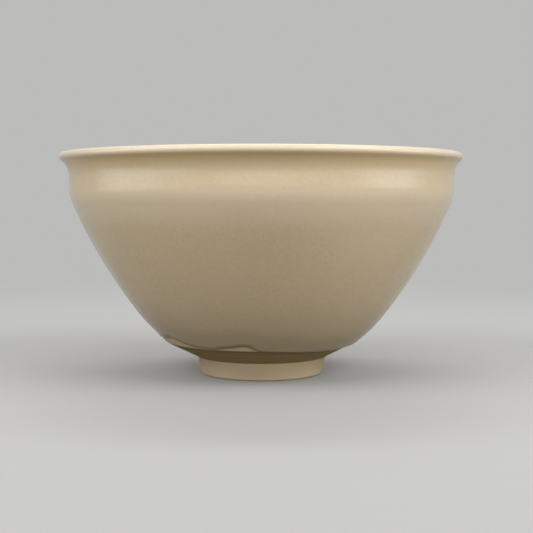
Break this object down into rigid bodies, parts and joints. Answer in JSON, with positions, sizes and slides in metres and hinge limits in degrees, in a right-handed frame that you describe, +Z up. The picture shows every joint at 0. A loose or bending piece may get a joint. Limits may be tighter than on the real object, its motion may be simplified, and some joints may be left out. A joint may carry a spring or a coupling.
{
  "type": "tea bowl",
  "caption": "Conical tea bowl on a small bare foot ring, with an upright neck, a flared lip and a cream satin glaze that stops above the foot at finger marks.",
  "frame": {"origin": "on the bowl's axis, in the plane that the foot ring rests on", "axes": "+Z up along the bowl's axis; -Y towards the side with the finger marks, as pictured; +X to the right of that view"},
  "size_m": [0.122, 0.122, 0.0675],
  "materials": {
    "bare_clay": "matte, unglazed buff clay with fine turning lines",
    "cream_glaze": "satin cream glaze"
  },
  "bodies": {
    "root": {"clay_body": "bare_clay", "foot_ring": "bare_clay", "inner_glaze": "cream_glaze", "outer_glaze": "cream_glaze"}
  },
  "joints": []
}
